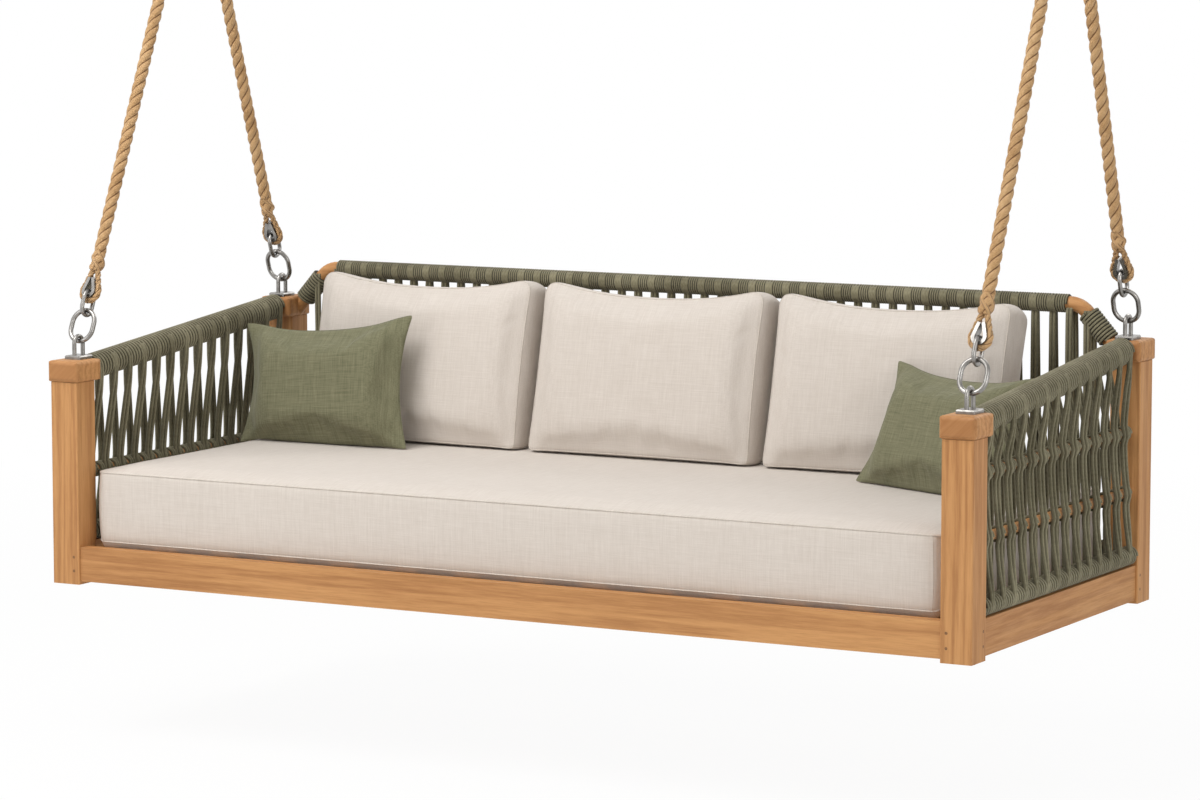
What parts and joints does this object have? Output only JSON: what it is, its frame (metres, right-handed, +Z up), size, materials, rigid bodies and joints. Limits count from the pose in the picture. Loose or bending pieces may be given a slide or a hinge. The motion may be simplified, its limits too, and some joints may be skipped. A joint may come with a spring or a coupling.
{
  "type": "hanging swing bed",
  "caption": "Hanging swing bed: teak frame with cord-wound rails, seat mattress and cushions, on ropes from swivel fittings under a ceiling.",
  "frame": {"origin": "on the ceiling plane, midway between the two ceiling plates, over the axis of the swing pins", "axes": "+Z up, +X to the bed's right-hand end seen from its open front, the open front faces -Y"},
  "size_m": [2.11, 0.905, 1.56],
  "materials": {
    "teak": "satin",
    "steel": "polished",
    "rope": "matte",
    "cord": "matte",
    "linen": "matte",
    "sage": "matte",
    "peg": "satin"
  },
  "bodies": {
    "ceiling": {"ceiling_plates": "steel", "swing_pins": "steel"},
    "hanger_left": {"hanger_left": "steel", "rope_pin_left": "steel"},
    "hanger_right": {"hanger_right": "steel", "rope_pin_right": "steel"},
    "rope_front_left": {"rope_front_left": "rope", "rope_eyes_front_left": "rope", "thimbles_front_left": "steel", "link_front_left": "steel", "ring_front_left": "steel"},
    "rope_front_right": {"rope_front_right": "rope", "rope_eyes_front_right": "rope", "thimbles_front_right": "steel", "link_front_right": "steel", "ring_front_right": "steel"},
    "rope_rear_left": {"rope_rear_left": "rope", "rope_eyes_rear_left": "rope", "thimbles_rear_left": "steel", "link_rear_left": "steel", "ring_rear_left": "steel"},
    "rope_rear_right": {"rope_rear_right": "rope", "rope_eyes_rear_right": "rope", "thimbles_rear_right": "steel", "link_rear_right": "steel", "ring_rear_right": "steel"},
    "bed": {"bed_eyes": "steel", "post_caps": "teak", "post_front_left": "teak", "post_front_right": "teak", "post_rear_left": "teak", "post_rear_right": "teak", "front_apron": "teak", "rear_apron": "teak", "left_apron": "teak", "right_apron": "teak", "joint_pegs": "peg", "seat_slats": "teak", "slat_cleats": "teak", "arm_rail_left": "teak", "arm_rail_right": "teak", "arm_winding_left": "cord", "arm_winding_right": "cord", "back_rail": "teak", "rail_elbows": "teak", "corner_rails": "teak", "back_winding": "cord", "corner_windings": "cord", "low_rails": "teak", "low_windings": "cord", "side_dowels": "teak", "side_cords_left": "cord", "side_cords_right": "cord", "back_cords": "cord"},
    "mattress": {"mattress": "linen"},
    "back_cushion_left": {"back_cushion_left": "linen"},
    "back_cushion_middle": {"back_cushion_middle": "linen"},
    "back_cushion_right": {"back_cushion_right": "linen"},
    "pillow_left": {"pillow_left": "sage"},
    "pillow_right": {"pillow_right": "sage"}
  },
  "joints": [
    {"name": "swing_left", "type": "hinge", "parent": "ceiling", "child": "hanger_left", "pos_m": [-1.017, 0, -0.04], "axis": [1, 0, 0], "range_deg": [-18, 18]},
    {"name": "swing_right", "type": "hinge", "parent": "ceiling", "child": "hanger_right", "pos_m": [1.017, 0, -0.04], "axis": [1, 0, 0], "range_deg": [-18, 18]},
    {"name": "sway_front_left", "type": "hinge", "parent": "hanger_left", "child": "rope_front_left", "pos_m": [-1.017, -0.032, -0.1], "axis": [0, 1, 0], "range_deg": [-6, 6]},
    {"name": "sway_front_right", "type": "hinge", "parent": "hanger_right", "child": "rope_front_right", "pos_m": [1.017, -0.032, -0.1], "axis": [0, 1, 0], "range_deg": [-6, 6]},
    {"name": "sway_rear_left", "type": "hinge", "parent": "hanger_left", "child": "rope_rear_left", "pos_m": [-1.017, 0.032, -0.1], "axis": [0, 1, 0], "range_deg": [-6.5, 6.5]},
    {"name": "sway_rear_right", "type": "hinge", "parent": "hanger_right", "child": "rope_rear_right", "pos_m": [1.017, 0.032, -0.1], "axis": [0, 1, 0], "range_deg": [-6.5, 6.5]},
    {"name": "bed_level", "type": "hinge", "parent": "rope_front_left", "child": "bed", "pos_m": [-1.017, -0.44697, -1.04477], "axis": [0, 1, 0], "range_deg": [-6, 6]},
    {"name": "mattress_lift", "type": "slide", "parent": "bed", "child": "mattress", "axis": [0, -0.3, 0.9539], "range_m": [0, 0.08]},
    {"name": "back_cushion_left_lift", "type": "slide", "parent": "mattress", "child": "back_cushion_left", "axis": [0, -0.5, 0.866], "range_m": [0, 0.1]},
    {"name": "back_cushion_middle_lift", "type": "slide", "parent": "mattress", "child": "back_cushion_middle", "axis": [0, -0.5, 0.866], "range_m": [0, 0.1]},
    {"name": "back_cushion_right_lift", "type": "slide", "parent": "mattress", "child": "back_cushion_right", "axis": [0, -0.5, 0.866], "range_m": [0, 0.1]},
    {"name": "pillow_left_lift", "type": "slide", "parent": "back_cushion_left", "child": "pillow_left", "axis": [0, -0.5, 0.866], "range_m": [0, 0.1]},
    {"name": "pillow_right_lift", "type": "slide", "parent": "back_cushion_right", "child": "pillow_right", "axis": [0, -0.5, 0.866], "range_m": [0, 0.1]}
  ],
  "couplings": [
    {"joint": "swing_right", "follows": "swing_left", "ratio": 1},
    {"joint": "sway_front_right", "follows": "sway_front_left", "ratio": 1},
    {"joint": "sway_rear_left", "follows": "sway_front_left", "ratio": 1.0806},
    {"joint": "sway_rear_right", "follows": "sway_front_left", "ratio": 1.0806},
    {"joint": "bed_level", "follows": "sway_front_left", "ratio": -1}
  ]
}
